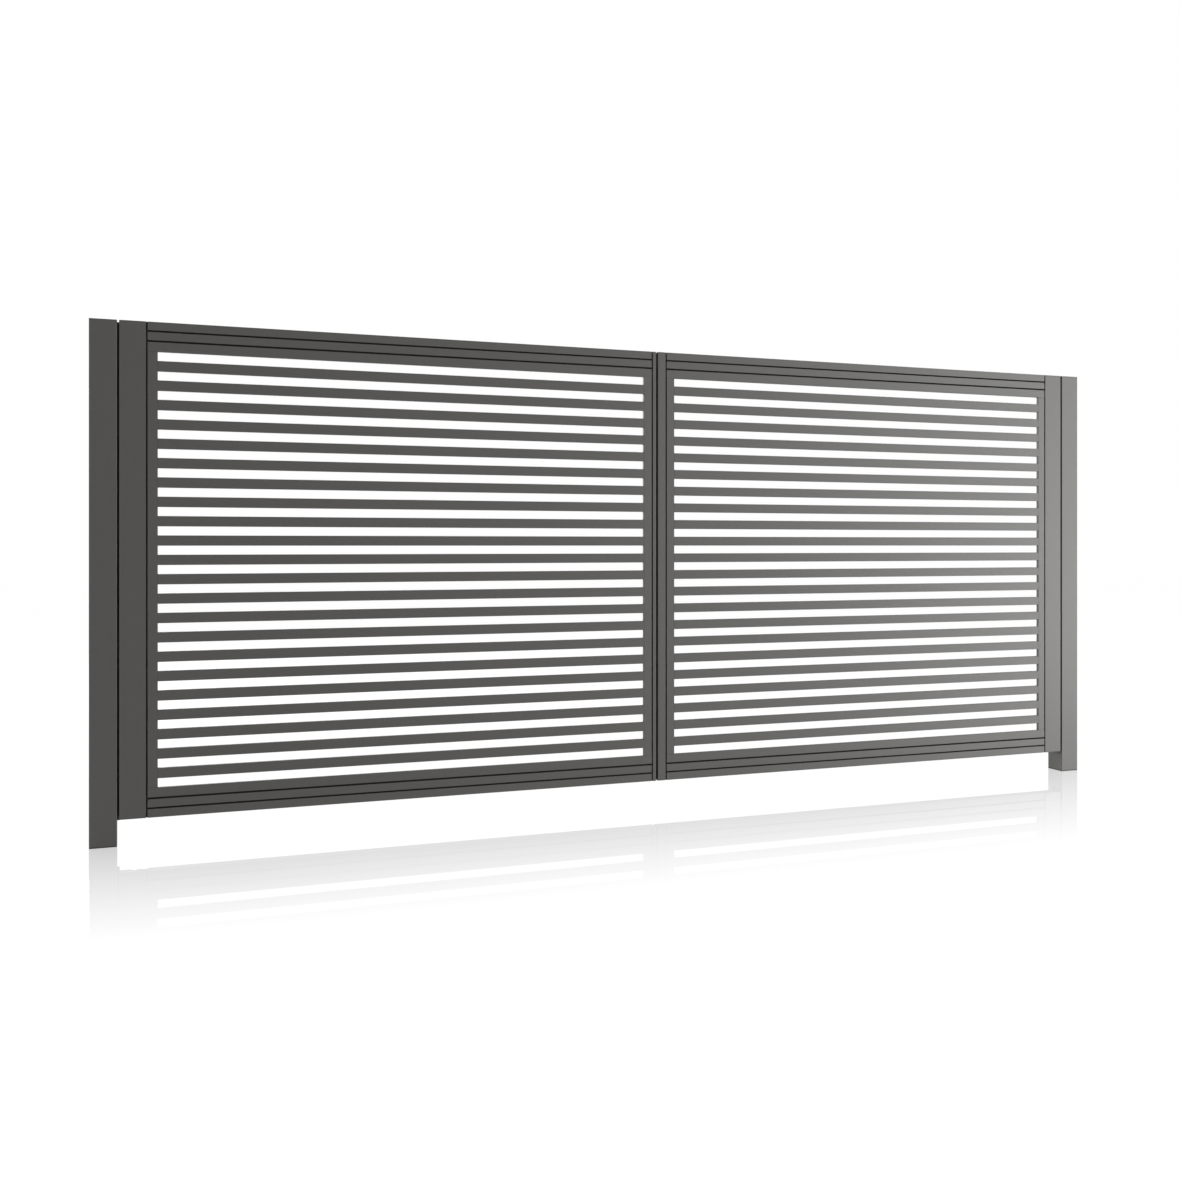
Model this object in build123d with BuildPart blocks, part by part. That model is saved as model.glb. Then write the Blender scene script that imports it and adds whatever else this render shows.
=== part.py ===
"""Double-leaf aluminium swing gate with horizontal slats between two square posts.

Millimetres, +Z up. X runs along the gate from the left post to the right one, seen from the
front. The front faces -Y and both leaves open towards +Y. The origin is the middle of the left
post's foot, at ground level.
"""

import os

from build123d import *

# Gate
clear_opening = 3600.0
gate_height = 1614.0
ground_clearance = 82.0
post_gap = 6.0
meeting_gap = 7.4

# Posts
post_size = 80.0
post_wall = 3.0
post_corner = 2.0
foot_plate = 10.0
anchor_spacing = 46.0
anchor_radius = 5.5

# Leaf frame extrusions
frame_depth = 40.0
frame_wall = 2.5
frame_corner = 1.0
hinge_stile_width = 82.0
left_meeting_width = 17.0
right_meeting_width = 34.0
rail_height = 62.2
groove_depth = 8.0
stile_groove_width = 4.5
rail_groove_width = 5.5
rail_groove_from_edge = 26.3

# End caps of posts and stiles
cap_thickness = 3.0
cap_spigot = 14.0
cap_spigot_wall = 2.0
cap_clearance = 0.2

# Strips that close the gaps between posts and leaves
strip_lap = 1.0
strip_clearance = 5.0
strip_below_leaf = 10.0

# Infill panel
infill_depth = 12.0
infill_bar_width = 29.8
infill_wall = 2.0
infill_corner = 0.7
slat_count = 22
slat_height = 32.0
slat_wall = 1.5

# Hinges
hinge_axis_from_post = 22.0
hinge_axis_from_leaf = 22.0
hinge_from_leaf_end = 190.0
hinge_height = 116.0
hinge_plate_corner = 5.0
post_plate_thickness = 6.0
leaf_plate_thickness = 4.0
leaf_plate_width = 60.0
leaf_plate_from_post = 12.0
barrel_radius = 11.0
barrel_height = 64.0
barrel_gap = 0.3
neck_width = 14.0
ear_thickness = 8.0
ear_radius = 13.0
pin_radius = 6.0
pin_running_clearance = 0.08
pin_fixed_clearance = 0.03
pin_head_radius = 9.5
pin_head_height = 5.0
pin_tail = 5.0

# Derived places
post_half = post_size / 2
front_y = -post_half
leaf_back_y = front_y + frame_depth
inner_face_x = post_half
right_post_x = clear_opening + post_size
centre_x = right_post_x / 2
leaf_width = (clear_opening - 2 * post_gap - meeting_gap) / 2
leaf_start_x = inner_face_x + post_gap
leaf_bottom_z = ground_clearance
leaf_height = gate_height - ground_clearance
rail_start_x = leaf_start_x + hinge_stile_width
hinge_axis_x = inner_face_x + hinge_axis_from_post
hinge_axis_y = leaf_back_y + hinge_axis_from_leaf
hinge_levels = {
    "lower": leaf_bottom_z + hinge_from_leaf_end,
    "upper": gate_height - hinge_from_leaf_end,
}
barrel_space = barrel_height + 2 * barrel_gap
strip_front_y = leaf_back_y + strip_clearance
strip_back_y = hinge_axis_y - ear_radius
same_place = 1e-6

os.makedirs("parts", exist_ok=True)


def save(part, name):
    """Label one finished piece and write its file."""
    part.label = name
    export_step(part, f"parts/{name}.step")


def to_side(side, builder):
    """Mirror a left-hand piece about the middle of the gate when it belongs to the right."""
    if side == "right":
        with builder:
            mirror(about=Plane.YZ.offset(centre_x), mode=Mode.REPLACE)
    return builder.part


def frame_outline(width, groove_width, grooves):
    """Solid outline of an extrusion: x across its face, y from its front to its back."""
    with BuildSketch() as outline:
        with Locations((width / 2, frame_depth / 2)):
            Rectangle(width, frame_depth)
        for start in grooves:
            with Locations((start + groove_width / 2, groove_depth / 2)):
                Rectangle(groove_width, groove_depth, mode=Mode.SUBTRACT)
        corners = outline.vertices().filter_by(
            lambda v: abs(abs(v.X - width / 2) - width / 2) < same_place
            and abs(abs(v.Y - frame_depth / 2) - frame_depth / 2) < same_place
        )
        fillet(corners, frame_corner)
    return outline.sketch


def frame_hollow(width, groove_width, grooves, inset=frame_wall):
    """Inside of the same extrusion, a constant wall behind its outline and its grooves."""
    with BuildSketch() as hollow:
        with Locations((width / 2, frame_depth / 2)):
            Rectangle(width - 2 * inset, frame_depth - 2 * inset)
        for start in grooves:
            with Locations((start + groove_width / 2, groove_depth / 2)):
                Rectangle(groove_width + 2 * inset, groove_depth + 2 * inset, mode=Mode.SUBTRACT)
    return hollow.sketch


def frame_section(width, groove_width, grooves):
    """Hollow section of a leaf frame extrusion."""
    with BuildSketch() as section:
        add(frame_outline(width, groove_width, grooves))
        add(frame_hollow(width, groove_width, grooves), mode=Mode.SUBTRACT)
    return section.sketch


def make_post(x, name):
    """Square hollow post, open at the top under its cap."""
    with BuildPart() as post:
        with BuildSketch(Plane.XY):
            with Locations((x, 0)):
                square = Rectangle(post_size, post_size)
            fillet(square.vertices(), post_corner)
            with Locations((x, 0)):
                Rectangle(post_size - 2 * post_wall, post_size - 2 * post_wall, mode=Mode.SUBTRACT)
        extrude(amount=gate_height - cap_thickness)
    save(post.part, name)


def make_post_cap(x, name):
    """Flush cap with a hollow spigot that plugs into the post."""
    inside = post_size - 2 * post_wall - 2 * cap_clearance
    with BuildPart() as cap:
        with BuildSketch(Plane.XY.offset(gate_height - cap_thickness)):
            with Locations((x, 0)):
                square = Rectangle(post_size, post_size)
            fillet(square.vertices(), post_corner)
        extrude(amount=cap_thickness)
        with BuildSketch(Plane.XY.offset(gate_height - cap_thickness)):
            with Locations((x, 0)):
                Rectangle(inside, inside)
                Rectangle(inside - 2 * cap_spigot_wall, inside - 2 * cap_spigot_wall, mode=Mode.SUBTRACT)
        extrude(amount=-cap_spigot)
    save(cap.part, name)


def make_post_foot(x, name):
    """Plate welded inside the post's lower end, flush with the ground, with four anchor holes."""
    with BuildPart() as foot:
        with BuildSketch(Plane.XY):
            with Locations((x, 0)):
                Rectangle(post_size - 2 * post_wall, post_size - 2 * post_wall)
                with GridLocations(anchor_spacing, anchor_spacing, 2, 2):
                    Circle(anchor_radius, mode=Mode.SUBTRACT)
        extrude(amount=foot_plate)
    save(foot.part, name)


def make_stile(side, name, x, width, grooves, cap_name):
    """Upright extrusion of a leaf at x, with a flush cap plugged into each end."""
    with BuildPart() as stile:
        with BuildSketch(Plane.XY.offset(leaf_bottom_z + cap_thickness)):
            with Locations((x, front_y)):
                add(frame_section(width, stile_groove_width, grooves))
        extrude(amount=leaf_height - 2 * cap_thickness)
    save(to_side(side, stile), name)

    with BuildPart() as caps:
        for z, upward in ((leaf_bottom_z, 1), (gate_height, -1)):
            with BuildSketch(Plane.XY.offset(z)):
                with Locations((x, front_y)):
                    add(frame_outline(width, stile_groove_width, grooves))
            extrude(amount=upward * cap_thickness)
            with BuildSketch(Plane.XY.offset(z + upward * cap_thickness)):
                with Locations((x, front_y)):
                    add(frame_hollow(width, stile_groove_width, grooves, frame_wall + cap_clearance))
            extrude(amount=upward * cap_spigot)
    save(to_side(side, caps), cap_name)


def make_rail(side, name, length, at_top):
    """Horizontal extrusion of a leaf: one groove along its face and one at the infill."""
    if at_top:
        plane = Plane((rail_start_x, front_y, gate_height), x_dir=(0, 0, -1), z_dir=(1, 0, 0))
    else:
        plane = Plane((rail_start_x + length, front_y, leaf_bottom_z), x_dir=(0, 0, 1), z_dir=(-1, 0, 0))
    grooves = (rail_groove_from_edge, rail_height - rail_groove_width)
    with BuildPart() as rail:
        with BuildSketch(plane):
            add(frame_section(rail_height, rail_groove_width, grooves))
        extrude(amount=length)
    save(to_side(side, rail), name)


def infill_section(width, wall):
    """Hollow rectangular section of the infill, x across its face and y to its back."""
    with BuildSketch() as section:
        with Locations((width / 2, infill_depth / 2)):
            face = Rectangle(width, infill_depth)
        chamfer(face.vertices(), infill_corner)
        with Locations((width / 2, infill_depth / 2)):
            Rectangle(width - 2 * wall, infill_depth - 2 * wall, mode=Mode.SUBTRACT)
    return section.sketch


def make_infill(side, length):
    """The slatted panel: two long bars, two short bars between them, and the slats."""
    bottom_z = leaf_bottom_z + rail_height
    top_z = gate_height - rail_height
    end_x = rail_start_x + length
    inner_height = top_z - bottom_z - 2 * infill_bar_width
    slat_length = length - 2 * infill_bar_width
    slat_gap = (inner_height - slat_count * slat_height) / (slat_count + 1)

    for name, z in (("top", top_z - infill_bar_width), ("bottom", bottom_z)):
        with BuildPart() as bar:
            with BuildSketch(Plane((end_x, front_y, z), x_dir=(0, 0, 1), z_dir=(-1, 0, 0))):
                add(infill_section(infill_bar_width, infill_wall))
            extrude(amount=length)
        save(to_side(side, bar), f"{side}_infill_{name}_bar")

    for name, x in (("hinge", rail_start_x), ("meeting", end_x - infill_bar_width)):
        with BuildPart() as bar:
            with BuildSketch(Plane.XY.offset(bottom_z + infill_bar_width)):
                with Locations((x, front_y)):
                    add(infill_section(infill_bar_width, infill_wall))
            extrude(amount=inner_height)
        save(to_side(side, bar), f"{side}_infill_{name}_side_bar")

    first = Plane(
        (end_x - infill_bar_width, front_y, bottom_z + infill_bar_width),
        x_dir=(0, 0, 1),
        z_dir=(-1, 0, 0),
    )
    starts = [slat_gap + i * (slat_height + slat_gap) for i in range(slat_count)]
    with BuildPart() as slats:
        with BuildSketch(first):
            with Locations([(start, 0) for start in starts]):
                add(infill_section(slat_height, slat_wall))
        extrude(amount=slat_length)
    save(to_side(side, slats), f"{side}_slats")


def make_gap_strip(side):
    """Flat strip up the post that closes the gap at the hinges, a clearance behind the leaf."""
    width = post_gap + strip_lap
    bottom_z = leaf_bottom_z - strip_below_leaf
    with BuildPart() as strip:
        with BuildSketch(Plane.XY.offset(bottom_z)):
            with Locations((inner_face_x + width / 2, (strip_front_y + strip_back_y) / 2)):
                Rectangle(width, strip_back_y - strip_front_y)
        extrude(amount=gate_height - bottom_z)
    save(to_side(side, strip), f"{side}_gap_strip")


def make_post_bracket(side, level, z):
    """Hinge plate on the post's inner face with an ear above and below the barrel."""
    ear_levels = (z - barrel_space / 2 - ear_thickness, z + barrel_space / 2)
    with BuildPart() as bracket:
        with BuildSketch(Plane.YZ.offset(inner_face_x)):
            with Locations((hinge_axis_y, z)):
                plate = Rectangle(2 * ear_radius, hinge_height)
            chamfer(plate.vertices(), hinge_plate_corner)
        extrude(amount=post_plate_thickness)
        for ear_z in ear_levels:
            with BuildSketch(Plane.XY.offset(ear_z)):
                with Locations((hinge_axis_x, hinge_axis_y)):
                    Circle(ear_radius)
                with Locations((inner_face_x + hinge_axis_from_post / 2, hinge_axis_y)):
                    Rectangle(hinge_axis_from_post, 2 * ear_radius)
                with Locations((hinge_axis_x, hinge_axis_y)):
                    Circle(pin_radius + pin_fixed_clearance, mode=Mode.SUBTRACT)
            extrude(amount=ear_thickness)
    save(to_side(side, bracket), f"{side}_{level}_post_hinge_bracket")


def make_leaf_bracket(side, level, z):
    """Hinge plate on the back of the stile with a barrel on a neck."""
    plate_middle_x = inner_face_x + leaf_plate_from_post + leaf_plate_width / 2
    with BuildPart() as bracket:
        with BuildSketch(Plane.XZ.offset(-leaf_back_y)):
            with Locations((plate_middle_x, z)):
                plate = Rectangle(leaf_plate_width, hinge_height)
            chamfer(plate.vertices(), hinge_plate_corner)
        extrude(amount=-leaf_plate_thickness)
        with BuildSketch(Plane.XY.offset(z - barrel_height / 2)):
            with Locations((hinge_axis_x, hinge_axis_y)):
                Circle(barrel_radius)
            with Locations((hinge_axis_x, leaf_back_y + hinge_axis_from_leaf / 2)):
                Rectangle(neck_width, hinge_axis_from_leaf)
            with Locations((hinge_axis_x, hinge_axis_y)):
                Circle(pin_radius + pin_running_clearance, mode=Mode.SUBTRACT)
        extrude(amount=barrel_height)
    save(to_side(side, bracket), f"{side}_{level}_leaf_hinge_bracket")


def make_hinge_pin(side, level, z):
    """Turned pin: a head on the upper ear, a shank, and a tail under the lower ear."""
    head_z = z + barrel_space / 2 + ear_thickness
    tail_z = z - barrel_space / 2 - ear_thickness - pin_tail
    with BuildPart() as pin:
        with BuildSketch(Plane((hinge_axis_x, hinge_axis_y, 0), x_dir=(1, 0, 0), z_dir=(0, -1, 0))):
            with BuildLine():
                Polyline(
                    (0, tail_z),
                    (pin_radius, tail_z),
                    (pin_radius, head_z),
                    (pin_head_radius, head_z),
                    (pin_head_radius, head_z + pin_head_height),
                    (0, head_z + pin_head_height),
                    close=True,
                )
            make_face()
        revolve(axis=Axis((hinge_axis_x, hinge_axis_y, 0), (0, 0, 1)))
    save(to_side(side, pin), f"{side}_{level}_hinge_pin")


for side, post_x in (("left", 0.0), ("right", right_post_x)):
    make_post(post_x, f"{side}_post")
    make_post_cap(post_x, f"{side}_post_cap")
    make_post_foot(post_x, f"{side}_post_foot")

for side, meeting_width in (("left", left_meeting_width), ("right", right_meeting_width)):
    rail_length = leaf_width - hinge_stile_width - meeting_width
    make_stile(
        side,
        f"{side}_hinge_stile",
        leaf_start_x,
        hinge_stile_width,
        (hinge_stile_width - stile_groove_width,),
        f"{side}_hinge_stile_caps",
    )
    make_stile(
        side,
        f"{side}_meeting_stile",
        rail_start_x + rail_length,
        meeting_width,
        (0.0,),
        f"{side}_meeting_stile_caps",
    )
    make_rail(side, f"{side}_top_rail", rail_length, at_top=True)
    make_rail(side, f"{side}_bottom_rail", rail_length, at_top=False)
    make_infill(side, rail_length)
    make_gap_strip(side)
    for level, hinge_z in hinge_levels.items():
        make_post_bracket(side, level, hinge_z)
        make_leaf_bracket(side, level, hinge_z)
        make_hinge_pin(side, level, hinge_z)
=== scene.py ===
import math

import bmesh
import bpy
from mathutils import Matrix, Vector


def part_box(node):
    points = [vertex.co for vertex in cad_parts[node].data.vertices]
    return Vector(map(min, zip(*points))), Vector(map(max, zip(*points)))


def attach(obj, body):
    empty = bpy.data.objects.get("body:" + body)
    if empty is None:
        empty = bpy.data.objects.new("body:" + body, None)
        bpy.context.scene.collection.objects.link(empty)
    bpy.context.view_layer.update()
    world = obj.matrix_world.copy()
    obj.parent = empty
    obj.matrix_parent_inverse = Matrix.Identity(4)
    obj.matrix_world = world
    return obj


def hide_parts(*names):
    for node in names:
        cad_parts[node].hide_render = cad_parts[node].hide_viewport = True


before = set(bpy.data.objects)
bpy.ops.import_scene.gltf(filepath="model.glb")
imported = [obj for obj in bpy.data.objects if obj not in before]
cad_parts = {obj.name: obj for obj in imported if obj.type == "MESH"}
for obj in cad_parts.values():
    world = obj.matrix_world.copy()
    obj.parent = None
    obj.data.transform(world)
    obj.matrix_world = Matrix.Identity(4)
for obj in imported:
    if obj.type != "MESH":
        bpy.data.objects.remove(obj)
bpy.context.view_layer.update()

# Posts. Square aluminium extrusions of 80 mm, sawn to length and powder coated anthracite in one
# go with the rest of the gate. A thin satin film over the metal: fine orange peel, a little
# unevenness in gloss, thinner and paler over the corners, and fully rough in the grooves and
# joints, which also carry painted shade down to near black.
sides = ("left", "right")
coat_colour = (0.100, 0.0975, 0.0925, 1)
coat_thin_colour = (0.15, 0.148, 0.142, 1)
# Near-black painted shade, laid over the coat deep in grooves, gaps and inner corners where ambient occlusion
# is strong.
painted_crevice_shade_colour = (0.002, 0.002, 0.002, 1)
coat_gloss = (0.50, 0.56)
coat_cloud_size = 0.35
coat_cloud_strength = 0.12
gloss_cloud_size = 0.02
peel_size = 0.0016
peel_depth = 0.00006
peel_detail = 3.0
corner_radius = 0.0007
corner_samples = 4
corner_gain = 2.5
corner_wear = 0.45
# Reach and samples of the ambient occlusion behind the painted shade, and the occlusion levels over which
# that shade fades in.
crevice_shade_reach = 0.012
crevice_shade_samples = 8
crevice_shade_closed = 0.48
crevice_shade_open = 0.70
joint_gloss = 1.0


def new_material(name):
    """An empty node material with its shader: the tree and the shader node."""
    material = bpy.data.materials.new(name)
    material.use_nodes = True
    tree = material.node_tree
    return material, tree, tree.nodes["Principled BSDF"]


def node(tree, kind, settings=None, **inputs):
    """Add a node. Inputs go by name, with _ for a space, or as n and a number; a socket links."""
    made = tree.nodes.new("ShaderNode" + kind)
    for key, value in (settings or {}).items():
        setattr(made, key, value)
    for key, value in inputs.items():
        numbered = key[0] == "n" and key[1:].isdigit()
        socket = made.inputs[int(key[1:]) if numbered else key.replace("_", " ")]
        if isinstance(value, bpy.types.NodeSocket):
            tree.links.new(value, socket)
        else:
            socket.default_value = value
    return made


def speckle(tree, place, size, detail=2.0):
    """Noise whose features are size metres across."""
    return node(tree, "TexNoise", Vector=place, Scale=1 / size, Detail=detail).outputs["Fac"]


def between(tree, factor, low, high):
    """A number that runs from low to high as the factor runs from 0 to 1."""
    return node(tree, "MapRange", Value=factor, To_Min=low, To_Max=high).outputs["Result"]


def blend_colours(tree, factor, first, second):
    """The first colour where the factor is 0 and the second where it is 1."""
    made = node(tree, "Mix", {"data_type": "RGBA"}, n0=factor, n6=first, n7=second)
    return made.outputs[2]


def rounded_corners(tree, radius):
    """The surface direction with every sharp corner eased to a small radius."""
    return node(tree, "Bevel", {"samples": corner_samples}, Radius=radius).outputs["Normal"]


def corner_mask(tree, rounded):
    """1 over the eased corners of a piece and 0 on its flats."""
    flat = node(tree, "NewGeometry").outputs["Normal"]
    facing = node(tree, "VectorMath", {"operation": "DOT_PRODUCT"}, n0=rounded, n1=flat)
    away = node(tree, "Math", {"operation": "SUBTRACT"}, n0=1.0, n1=facing.outputs["Value"])
    clamped = {"operation": "MULTIPLY", "use_clamp": True}
    return node(tree, "Math", clamped, n0=away.outputs[0], n1=corner_gain).outputs[0]


def painted_crevice_shade_mask(tree, reach):
    """Painted shade mask from ambient occlusion: 1 deep in grooves and joints, 0 out on the open faces."""
    sky_seen = node(tree, "AmbientOcclusion", {"samples": crevice_shade_samples}, Distance=reach).outputs["AO"]
    span = {"From_Min": crevice_shade_closed, "From_Max": crevice_shade_open, "To_Min": 1.0, "To_Max": 0.0}
    return node(tree, "MapRange", Value=sky_seen, **span).outputs["Result"]


def powder_coat(name, gloss, peel, depth):
    """Anthracite powder coat over aluminium or steel."""
    material, tree, shader = new_material(name)
    place = node(tree, "TexCoord").outputs["Object"]
    cloud = between(tree, speckle(tree, place, coat_cloud_size), 0.0, coat_cloud_strength)
    rounded = rounded_corners(tree, corner_radius)
    thin = between(tree, corner_mask(tree, rounded), 0.0, corner_wear)
    shade = blend_colours(tree, cloud, coat_colour, coat_thin_colour)
    edged = blend_colours(tree, thin, shade, coat_thin_colour)
    # Painted shade: the coat turns near black deep in grooves and joints, from ambient occlusion; the same
    # mask makes it fully rough there.
    crevice_shade = painted_crevice_shade_mask(tree, crevice_shade_reach)
    crevice_shaded = blend_colours(tree, crevice_shade, edged, painted_crevice_shade_colour)
    tree.links.new(crevice_shaded, shader.inputs["Base Color"])
    uneven = between(tree, speckle(tree, place, gloss_cloud_size), gloss[0], gloss[1])
    tree.links.new(between(tree, crevice_shade, uneven, joint_gloss), shader.inputs["Roughness"])
    ripple = speckle(tree, place, peel, peel_detail)
    skin = node(tree, "Bump", Height=ripple, Normal=rounded, Strength=1.0, Distance=depth)
    tree.links.new(skin.outputs["Normal"], shader.inputs["Normal"])
    return material


def finish_nodes(material, *names):
    """Give CAD nodes their finish."""
    for name in names:
        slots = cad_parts[name].data.materials
        slots.clear()
        slots.append(material)


coated_aluminium = powder_coat("coated_aluminium", coat_gloss, peel_size, peel_depth)
for side in sides:
    finish_nodes(coated_aluminium, f"{side}_post", f"{side}_post_foot", f"{side}_gap_strip")

# Caps. Plastic mouldings pressed into the ends of posts and stiles, matched to the coat but
# duller, with the fine spark-eroded grain of the mould and a paler, rubbed rim.
cap_colour = (0.088, 0.087, 0.083, 1)
cap_rim_colour = (0.14, 0.138, 0.132, 1)
cap_rim_radius = 0.0009
cap_rim_wear = 0.7
cap_gloss = (0.52, 0.62)
cap_gloss_cloud_size = 0.004
cap_grain_size = 0.0006
cap_grain_depth = 0.00002


def moulded_plastic(name):
    """Grained plastic of the caps."""
    material, tree, shader = new_material(name)
    place = node(tree, "TexCoord").outputs["Object"]
    rounded = rounded_corners(tree, cap_rim_radius)
    rim = between(tree, corner_mask(tree, rounded), 0.0, cap_rim_wear)
    shade = blend_colours(tree, rim, cap_colour, cap_rim_colour)
    # Painted shade: near black where the cap meets its post or stile, from ambient occlusion; the same mask
    # makes it fully rough there.
    crevice_shade = painted_crevice_shade_mask(tree, crevice_shade_reach)
    crevice_shaded = blend_colours(tree, crevice_shade, shade, painted_crevice_shade_colour)
    tree.links.new(crevice_shaded, shader.inputs["Base Color"])
    uneven = between(tree, speckle(tree, place, cap_gloss_cloud_size), cap_gloss[0], cap_gloss[1])
    tree.links.new(between(tree, crevice_shade, uneven, joint_gloss), shader.inputs["Roughness"])
    grain = node(tree, "TexVoronoi", Vector=place, Scale=1 / cap_grain_size).outputs["Distance"]
    skin = node(tree, "Bump", Height=grain, Normal=rounded, Strength=1.0, Distance=cap_grain_depth)
    tree.links.new(skin.outputs["Normal"], shader.inputs["Normal"])
    return material


cap_plastic = moulded_plastic("cap_plastic")
for side in sides:
    for piece in ("post_cap", "hinge_stile_caps", "meeting_stile_caps"):
        finish_nodes(cap_plastic, f"{side}_{piece}")

# Leaf frames. Two upright stiles and two rails of each leaf, extruded with shadow grooves in
# their faces. The joints are welded, ground flush outside, and keep a small rippled bead in each
# inner corner behind the panel. The frame is coated after welding.
leaf_body = {"left": "left_leaf", "right": "right_leaf"}
corner_bead_leg = 0.0035
bead_pitch = 0.0016
bead_ripple = 0.12
bead_sink = 0.0003
bead_wander = 0.05
slow_wander = 11
fast_wander = 23
wander_by_height = 40
bead_end_size = 0.55
bead_end_growth = 3.0
bead_flatness = 0.78
bead_face_points = 6
steps_per_ripple = 4


def stack(bm, loops):
    """Close a solid from loops of points, each loop as long as the next."""
    rings = [[bm.verts.new(point) for point in loop] for loop in loops]
    count = len(rings[0])
    for lower, upper in zip(rings, rings[1:]):
        for i in range(count):
            k = (i + 1) % count
            bm.faces.new((lower[i], lower[k], upper[k], upper[i]))
    bm.faces.new(rings[0][::-1])
    bm.faces.new(rings[-1])


def weld_bead(bm, start, end, first, second, leg):
    """Fillet weld in the corner line from start to end, between walls along first and second."""
    run = end - start
    steps = round(run.length / bead_pitch) * steps_per_ripple
    last = bead_face_points - 1
    loops = []
    for i in range(steps + 1):
        share = i / steps
        ripple = abs(math.sin(math.pi * share * run.length / bead_pitch))
        drift = math.sin(slow_wander * share + wander_by_height * start.z) * math.cos(fast_wander * share)
        wander = 1 + bead_wander * drift
        taper = min(1.0, bead_end_size + bead_end_growth * min(share, 1 - share))
        size = leg * wander * taper * (1 - bead_ripple * (1 - ripple))
        corner = start + run * share
        loop = [corner - (first + second) * bead_sink]
        for k in range(bead_face_points):
            angle = math.radians(90 * k / last)
            bulge = bead_flatness if 0 < k < last else 1.0
            loop.append(
                corner
                + first * size * math.cos(angle) * bulge
                + second * size * math.sin(angle) * bulge
                - (first * (k == last) + second * (k == 0)) * bead_sink
            )
        loops.append(loop)
    stack(bm, loops)


def finished_piece(name, bm, material, body, crease=35):
    """Make an object of the mesh, smooth but for its creases, and let it ride on its body."""
    bmesh.ops.recalc_face_normals(bm, faces=bm.faces)
    mesh = bpy.data.meshes.new(name)
    bm.to_mesh(mesh)
    bm.free()
    mesh.shade_smooth()
    mesh.set_sharp_from_angle(angle=math.radians(crease))
    mesh.materials.append(material)
    piece = bpy.data.objects.new(name, mesh)
    bpy.context.scene.collection.objects.link(piece)
    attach(piece, body)
    return piece


x_axis, y_axis, z_axis = Vector((1, 0, 0)), Vector((0, 1, 0)), Vector((0, 0, 1))
for side in sides:
    for piece in ("hinge_stile", "meeting_stile", "top_rail", "bottom_rail"):
        finish_nodes(coated_aluminium, f"{side}_{piece}")
    top_low, top_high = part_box(f"{side}_top_rail")
    bottom_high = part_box(f"{side}_bottom_rail")[1]
    panel_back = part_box(f"{side}_infill_top_bar")[1].y
    corner_beads = bmesh.new()
    for x, inward in ((top_low.x, x_axis), (top_high.x, -x_axis)):
        for z, upward in ((top_low.z, -z_axis), (bottom_high.z, z_axis)):
            start = Vector((x, panel_back, z))
            end = Vector((x, top_high.y, z))
            weld_bead(corner_beads, start, end, inward, upward, corner_bead_leg)
    finished_piece(
        f"{side}_corner_welds", corner_beads, coated_aluminium, leaf_body[side]
    )

# Infill panels. Flat aluminium tubes, sawn square and butted together: four bars round 22 slats,
# set flush with the front of the frame and coated with it.
for side in sides:
    for piece in ("top_bar", "bottom_bar", "hinge_side_bar", "meeting_side_bar"):
        finish_nodes(coated_aluminium, f"{side}_infill_{piece}")
    finish_nodes(coated_aluminium, f"{side}_slats")

# Hinge brackets. Steel plates with two welded ears on the post and a welded barrel on the leaf,
# under a thicker and rougher coat of the same powder.
levels = ("lower", "upper")
post_plate_thickness = 0.006
leaf_plate_thickness = 0.004
ear_gap = 0.0646
ear_thickness = 0.008
neck_width = 0.014
neck_height = 0.064
bead_inset = 0.002
ear_bead_leg = 0.0024
neck_bead_leg = 0.0027

steel_coat_gloss = (0.48, 0.56)
steel_peel_size = 0.0022
steel_peel_depth = 0.0001

coated_steel = powder_coat("coated_steel", steel_coat_gloss, steel_peel_size, steel_peel_depth)


def hinge_centre(side, level):
    """The middle of a hinge, on its pin."""
    pin_low, pin_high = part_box(f"{side}_{level}_hinge_pin")
    leaf_low, leaf_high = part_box(f"{side}_{level}_leaf_hinge_bracket")
    middle = (pin_low + pin_high) / 2
    return Vector((middle.x, middle.y, (leaf_low.z + leaf_high.z) / 2))


def away_from_post(side):
    """The direction from a post into the opening."""
    return x_axis if side == "left" else -x_axis


def post_plate_face(side):
    """X of the face of the hinge plates on a post."""
    low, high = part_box(f"{side}_post")
    inner_face = high.x if side == "left" else low.x
    return inner_face + away_from_post(side).x * post_plate_thickness


for side in sides:
    for level in levels:
        finish_nodes(coated_steel, f"{side}_{level}_post_hinge_bracket", f"{side}_{level}_leaf_hinge_bracket")
        centre = hinge_centre(side, level)
        out = away_from_post(side)
        ear_low, ear_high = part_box(f"{side}_{level}_post_hinge_bracket")
        ear_beads = bmesh.new()
        for upward in (z_axis, -z_axis):
            z = centre.z + upward.z * ear_gap / 2
            start = Vector((post_plate_face(side), ear_low.y + bead_inset, z))
            end = Vector((post_plate_face(side), ear_high.y - bead_inset, z))
            weld_bead(ear_beads, start, end, out, -upward, ear_bead_leg)
        finished_piece(f"{side}_{level}_ear_welds", ear_beads, coated_steel, "posts")

        plate_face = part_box(f"{side}_hinge_stile")[1].y + leaf_plate_thickness
        half = neck_height / 2 - bead_inset
        neck_beads = bmesh.new()
        for across in (x_axis, -x_axis):
            start = Vector((centre.x, plate_face, centre.z - half)) + across * neck_width / 2
            weld_bead(neck_beads, start, start + z_axis * 2 * half, across, y_axis, neck_bead_leg)
        finished_piece(f"{side}_{level}_neck_welds", neck_beads, coated_steel, leaf_body[side])

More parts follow.
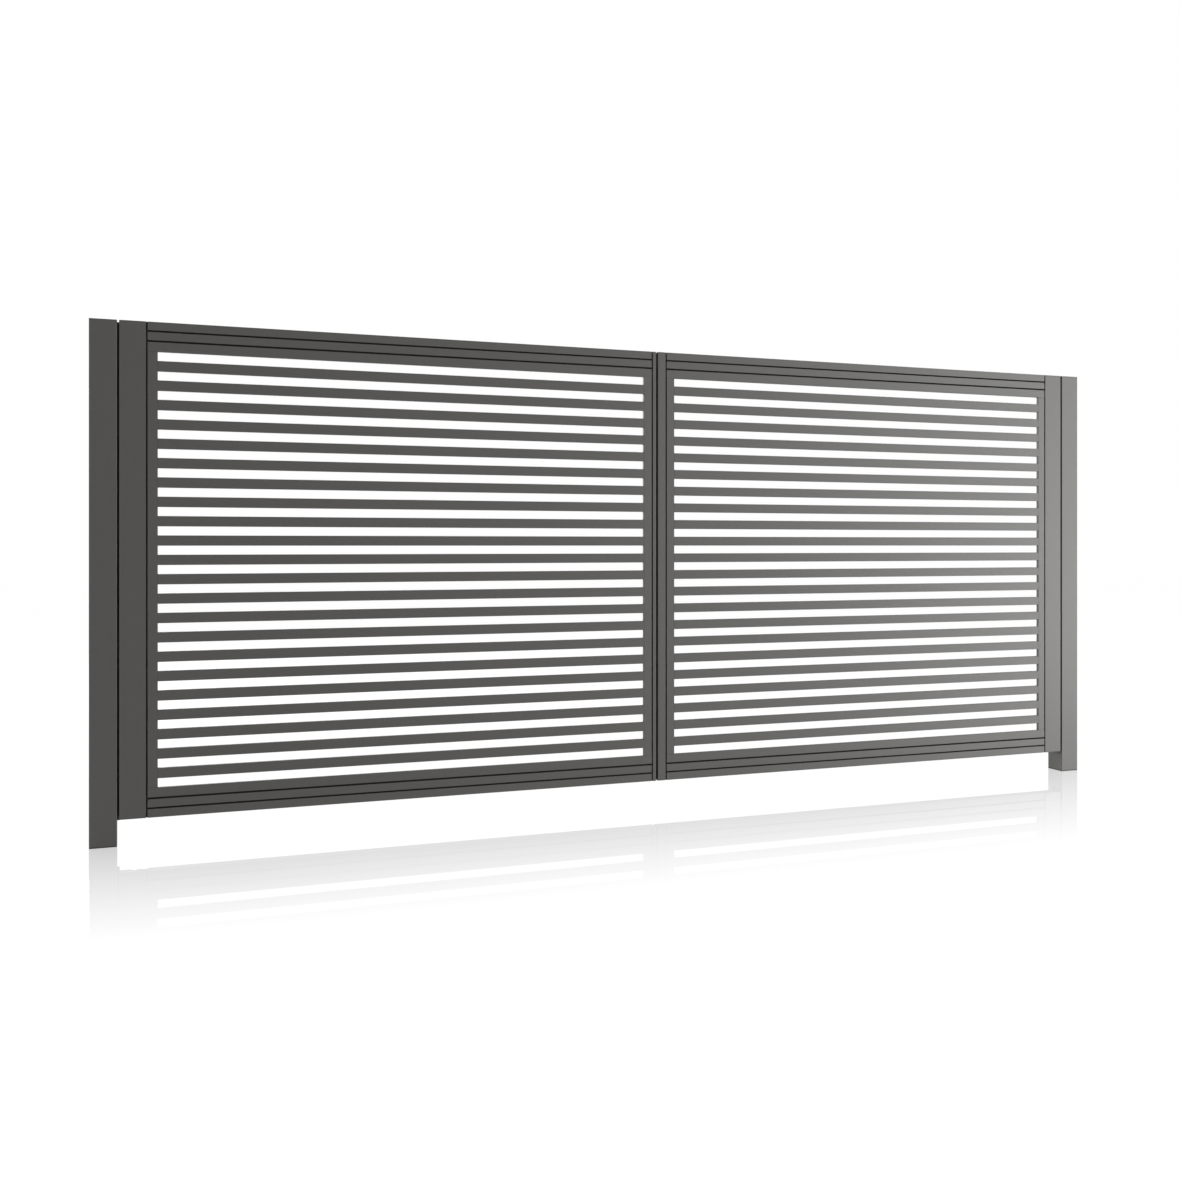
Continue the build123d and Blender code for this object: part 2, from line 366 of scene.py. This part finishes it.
# Hinge pins. Turned stainless steel: a chamfered head with the lathe's centre mark on the upper
# ear, a plain shank, and a chamfered tail with a groove for the retaining ring.
pin_colour = (0.62, 0.61, 0.59, 1)
pin_dull_colour = (0.46, 0.455, 0.445, 1)
pin_radius = 0.006
pin_head_radius = 0.0095
pin_head_height = 0.005
pin_chamfer = 0.0008
pin_head_edge = 0.0004
pin_crown_edge = 0.00128
centre_mark_radius = 0.0016
centre_mark_tip = 0.00032
centre_mark_depth = 0.0012
ring_groove_depth = 0.0007
ring_thickness = 0.0012
ring_play = 0.0001
round_steps = 64
pin_crease = 20
pin_gloss = (0.24, 0.40)
pin_cloud_size = 0.008
# Reach of the ambient occlusion behind the painted shade in the steel's crevices.
pin_crevice_shade_reach = 0.004
lathe_rings = 900.0
lathe_wander = 1.5
lathe_strength = 0.4
lathe_depth = 0.00001


def turned_steel(name, ring_count):
    """Stainless steel with the fine rings that a lathe leaves."""
    material, tree, shader = new_material(name)
    place = node(tree, "TexCoord").outputs["Object"]
    cloud = speckle(tree, place, pin_cloud_size)
    shade = blend_colours(tree, cloud, pin_colour, pin_dull_colour)
    # Painted shade: the steel turns near black where it is occluded, from ambient occlusion.
    crevice_shaded = blend_colours(tree, painted_crevice_shade_mask(tree, pin_crevice_shade_reach), shade, painted_crevice_shade_colour)
    tree.links.new(crevice_shaded, shader.inputs["Base Color"])
    tree.links.new(between(tree, cloud, *pin_gloss), shader.inputs["Roughness"])
    around = {"bands_direction": "Z"}
    lathe = node(tree, "TexWave", around, Vector=place, Scale=ring_count, Distortion=lathe_wander)
    skin = node(tree, "Bump", Height=lathe.outputs["Fac"], Strength=lathe_strength, Distance=lathe_depth)
    tree.links.new(skin.outputs["Normal"], shader.inputs["Normal"])
    shader.inputs["Metallic"].default_value = 1.0
    return material


def circle(centre, radius, height, steps=round_steps, out=z_axis, start=0.0):
    """A ring of points about an axis along out, at a height along it."""
    turn = out.to_track_quat("Z", "Y")
    points = []
    for i in range(steps):
        angle = math.tau * i / steps + start
        flat = Vector((radius * math.cos(angle), radius * math.sin(angle), height))
        points.append(centre + turn @ flat)
    return points


pin_steel = turned_steel("pin_steel", lathe_rings)
for side in sides:
    for level in levels:
        centre = hinge_centre(side, level)
        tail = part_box(f"{side}_{level}_hinge_pin")[0].z - centre.z
        seat = ear_gap / 2 + ear_thickness
        groove_top = -seat - ring_play
        groove_bottom = groove_top - ring_thickness - 2 * ring_play
        crown = seat + pin_head_height
        profile = (
            (centre_mark_tip, tail + centre_mark_depth),
            (centre_mark_radius, tail),
            (pin_radius - pin_chamfer, tail),
            (pin_radius, tail + pin_chamfer),
            (pin_radius, groove_bottom),
            (pin_radius - ring_groove_depth, groove_bottom),
            (pin_radius - ring_groove_depth, groove_top),
            (pin_radius, groove_top),
            (pin_radius, seat),
            (pin_head_radius - pin_head_edge, seat),
            (pin_head_radius, seat + pin_head_edge),
            (pin_head_radius, crown - pin_chamfer),
            (pin_head_radius - pin_crown_edge, crown),
            (centre_mark_radius, crown),
            (centre_mark_tip, crown - centre_mark_depth),
        )
        pin = bmesh.new()
        stack(pin, [circle(centre, radius, height) for radius, height in profile])
        name = f"{side}_{level}_turned_pin"
        piece = finished_piece(name, pin, pin_steel, "posts", pin_crease)
        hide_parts(f"{side}_{level}_hinge_pin")

# Retaining rings. Spring-steel rings snapped into the groove under the lower ear, thickest
# opposite their gap, with two lugs that the pliers take.
ring_inner_radius = 0.0054
ring_width = 0.0026
ring_end_width = 0.72 * ring_width
ring_gap_angle = 50
lug_radius = 0.0017
lug_hole_radius = 0.0007
lug_inset = 0.0004
lug_steps = 20

for side in sides:
    for level in levels:
        centre = hinge_centre(side, level)
        top = centre.z - ear_gap / 2 - ear_thickness - ring_play
        ring = bmesh.new()
        half_gap = math.radians(ring_gap_angle / 2)
        loops = []
        for i in range(round_steps + 1):
            angle = half_gap + (math.tau - 2 * half_gap) * i / round_steps
            swell = math.sin((angle - half_gap) / 2)
            width = ring_end_width + (ring_width - ring_end_width) * swell
            ray = Vector((math.cos(angle), math.sin(angle), 0))
            inner = centre + ray * ring_inner_radius
            outer = centre + ray * (ring_inner_radius + width)
            loops.append(
                [
                    Vector((inner.x, inner.y, top)),
                    Vector((outer.x, outer.y, top)),
                    Vector((outer.x, outer.y, top - ring_thickness)),
                    Vector((inner.x, inner.y, top - ring_thickness)),
                ]
            )
        stack(ring, loops)
        for sign in (1, -1):
            angle = sign * half_gap
            ray = Vector((math.cos(angle), math.sin(angle), 0))
            eyelet = centre + ray * (ring_inner_radius + lug_radius + lug_inset)
            eyelet.z = top - ring_thickness
            walls = []
            for radius, height in (
                (lug_hole_radius, 0),
                (lug_radius, 0),
                (lug_radius, ring_thickness),
                (lug_hole_radius, ring_thickness),
            ):
                walls.append([ring.verts.new(p) for p in circle(eyelet, radius, height, lug_steps)])
            for a, b in zip(walls, walls[1:] + walls[:1]):
                for i in range(lug_steps):
                    k = (i + 1) % lug_steps
                    ring.faces.new((a[i], a[k], b[k], b[i]))
        finished_piece(f"{side}_{level}_retaining_ring", ring, pin_steel, "posts")

# Hinge bolts. M8 stainless hexagon bolts on plain washers: two through each plate on the post,
# beyond its ears, and four through each plate on the leaf, clear of its barrel.
bolt_across_flats = 0.013
bolt_head_height = 0.0053
bolt_collar_radius = 0.0058
bolt_collar_height = 0.0004
bolt_crown_radius = 0.0061
bolt_chamfer_angle = 30
bolt_crease = 25
washer_radius = 0.008
washer_thickness = 0.0016
washer_chamfer = 0.0003
hexagon_steps = 48
post_bolt_offset = 0.0495
leaf_bolt_offset = 0.046
leaf_bolt_columns = (0.022, 0.040)
bolt_lathe_rings = 300.0
first_spin = 0.3
spin_step = 0.7


def hex_bolt(bm, seat, out, spin):
    """A hexagon head on a washer, standing out of a plate at its seat."""
    rim = washer_radius - washer_chamfer
    washer = ((rim, 0), (washer_radius, washer_chamfer))
    washer += ((washer_radius, washer_thickness - washer_chamfer), (rim, washer_thickness))
    stack(bm, [circle(seat, radius, height, hexagon_steps, out) for radius, height in washer])

    turn = out.to_track_quat("Z", "Y")
    top = washer_thickness + bolt_head_height
    collar_top = washer_thickness + bolt_collar_height
    collar_foot = circle(seat, bolt_collar_radius, washer_thickness, hexagon_steps, out, spin)
    collar_head = circle(seat, bolt_collar_radius, collar_top, hexagon_steps, out, spin)
    crown = circle(seat, bolt_crown_radius, top, hexagon_steps, out, spin)
    flats, shoulders = [], []
    for i in range(hexagon_steps):
        angle = math.tau * i / hexagon_steps
        from_flat = (angle + math.pi / 6) % (math.pi / 3) - math.pi / 6
        reach = bolt_across_flats / 2 / math.cos(from_flat)
        drop = (reach - bolt_crown_radius) * math.tan(math.radians(bolt_chamfer_angle))
        x, y = reach * math.cos(angle + spin), reach * math.sin(angle + spin)
        flats.append(seat + turn @ Vector((x, y, collar_top)))
        shoulders.append(seat + turn @ Vector((x, y, top - drop)))
    stack(bm, [collar_foot, collar_head, flats, shoulders, crown])


bolt_steel = turned_steel("bolt_steel", bolt_lathe_rings)
spin = first_spin
for side in sides:
    for level in levels:
        centre = hinge_centre(side, level)
        out = away_from_post(side)
        post_bolts = bmesh.new()
        for offset in (post_bolt_offset, -post_bolt_offset):
            spin += spin_step
            hex_bolt(post_bolts, Vector((post_plate_face(side), centre.y, centre.z + offset)), out, spin)
        name = f"{side}_{level}_post_bolts"
        finished_piece(name, post_bolts, bolt_steel, "posts", bolt_crease)

        plate_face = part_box(f"{side}_hinge_stile")[1].y + leaf_plate_thickness
        leaf_bolts = bmesh.new()
        for column in leaf_bolt_columns:
            for offset in (leaf_bolt_offset, -leaf_bolt_offset):
                spin += spin_step
                seat = Vector((centre.x + out.x * column, plate_face, centre.z + offset))
                hex_bolt(leaf_bolts, seat, y_axis, spin)
        name = f"{side}_{level}_leaf_bolts"
        finished_piece(name, leaf_bolts, bolt_steel, leaf_body[side], bolt_crease)

# Studio. A white floor whose weak mirror image fades within a metre before the gate and further off
# behind it, where the leaves open, and an even white sky. Softboxes: a large one and a low strip at
# the front right, one far to the left, and one behind.
floor_size = 60.0
floor_bounce = (0.8, 0.8, 0.8, 1)
floor_white = 0.985
floor_shade = (0.1, 0.1, 0.1, 1)
mirror_roughness = 0.0
mirror_share = 0.42
mirror_reach_front = 1.0
mirror_reach_back = 2.6
mirror_start = 0.04
sky_level = 0.09
key_place = Vector((8.5, -4.2, 1.3))
key_aim = Vector((3.0, 0.0, 1.3))
key_size = (5.0, 4.0)
key_power = 480.0
low_place = Vector((6.6, -2.8, 0.12))
low_aim = Vector((3.5, 0.0, 0.15))
low_size = (2.0, 0.2)
low_power = 65.0
side_place = Vector((-9.0, -0.6, 0.8))
side_aim = Vector((3.6, 0.0, 0.8))
side_size = (1.0, 2.4)
side_power = 320.0
back_place = Vector((-1.6, 5.2, 3.2))
back_aim = Vector((1.8, 0.0, 0.8))
back_size = (5.0, 3.0)
back_power = 330.0


def seen_ray(tree):
    """1 for rays that show the background: camera, mirror and glass rays."""
    rays = node(tree, "LightPath").outputs
    either = node(tree, "Math", {"operation": "MAXIMUM"}, n0=rays["Is Camera Ray"], n1=rays["Is Glossy Ray"])
    made = node(tree, "Math", {"operation": "MAXIMUM"}, n0=either.outputs[0], n1=rays["Is Transmission Ray"])
    return made.outputs[0]


def studio_floor():
    """White floor: shows as white, bounces light as pale concrete, and mirrors the gate faintly."""
    mesh = bpy.data.meshes.new("floor")
    half = floor_size / 2
    corners = [(-half, -half, 0), (half, -half, 0), (half, half, 0), (-half, half, 0)]
    mesh.from_pydata(corners, [], [(0, 1, 2, 3)])
    floor = bpy.data.objects.new("floor", mesh)
    bpy.context.scene.collection.objects.link(floor)
    material, tree = new_material("white_floor")[:2]
    tree.nodes.clear()
    matt = node(tree, "BsdfDiffuse", Color=floor_bounce).outputs[0]
    white = node(tree, "Emission", Color=(1, 1, 1, 1), Strength=floor_white).outputs[0]
    shaded = node(tree, "BsdfDiffuse", Color=floor_shade).outputs[0]
    shown = node(tree, "AddShader", n0=white, n1=shaded).outputs[0]
    mirror = node(tree, "BsdfGlossy", Color=(1, 1, 1, 1), Roughness=mirror_roughness).outputs[0]
    depth = node(tree, "SeparateXYZ", Vector=node(tree, "TexCoord").outputs["Object"]).outputs["Y"]
    shares = []
    for way, reach in ((-1.0, mirror_reach_front), (1.0, mirror_reach_back)):
        away = node(tree, "Math", {"operation": "MULTIPLY"}, n0=depth, n1=way).outputs[0]
        ends = {"From_Min": mirror_start, "From_Max": mirror_start + reach}
        fade = node(tree, "MapRange", Value=away, To_Min=mirror_share, To_Max=0.0, **ends)
        shares.append(fade.outputs["Result"])
    share = node(tree, "Math", {"operation": "MINIMUM"}, n0=shares[0], n1=shares[1]).outputs[0]
    mirrored = node(tree, "MixShader", Fac=share, n1=shown, n2=mirror).outputs[0]
    surface = node(tree, "MixShader", Fac=seen_ray(tree), n1=matt, n2=mirrored).outputs[0]
    node(tree, "OutputMaterial", Surface=surface)
    mesh.materials.append(material)


def studio_sky():
    """Even sky light that shows as plain white."""
    world = bpy.data.worlds.new("studio")
    bpy.context.scene.world = world
    world.use_nodes = True
    tree = world.node_tree
    tree.nodes.clear()
    strength = between(tree, seen_ray(tree), sky_level, 1.0)
    background = node(tree, "Background", Color=(1, 1, 1, 1), Strength=strength)
    node(tree, "OutputWorld", Surface=background.outputs[0])


def softbox(name, place, aim, size, power):
    """Soft rectangular lamp that faces its aim."""
    lamp = bpy.data.lights.new(name, "AREA")
    lamp.shape = "RECTANGLE"
    lamp.size, lamp.size_y = size
    lamp.energy = power
    light = bpy.data.objects.new(name, lamp)
    bpy.context.scene.collection.objects.link(light)
    light.location = place
    light.rotation_euler = (aim - place).to_track_quat("-Z", "Y").to_euler()
    light.visible_camera = False


studio_floor()
studio_sky()
softbox("key", key_place, key_aim, key_size, key_power)
softbox("low", low_place, low_aim, low_size, low_power)
softbox("side", side_place, side_aim, side_size, side_power)
softbox("back", back_place, back_aim, back_size, back_power)

# Camera. Level, at waist height in front of the left leaf and turned to the right, with the
# frame shifted so that verticals stay upright.
eye = Vector((0.0907, -4.0588, 0.9243))
turn = math.radians(20.389)
focal_length = 37.375
sensor_width = 36.0
horizon_shift = -0.0369

view = bpy.data.cameras.new("camera")
view.sensor_fit = "HORIZONTAL"
view.sensor_width = sensor_width
view.lens = focal_length
view.shift_y = horizon_shift
camera = bpy.data.objects.new("camera", view)
bpy.context.scene.collection.objects.link(camera)
camera.location = eye
camera.rotation_euler = (math.radians(90), 0, -turn)
bpy.context.scene.camera = camera
bpy.context.scene.view_settings.view_transform = "Standard"
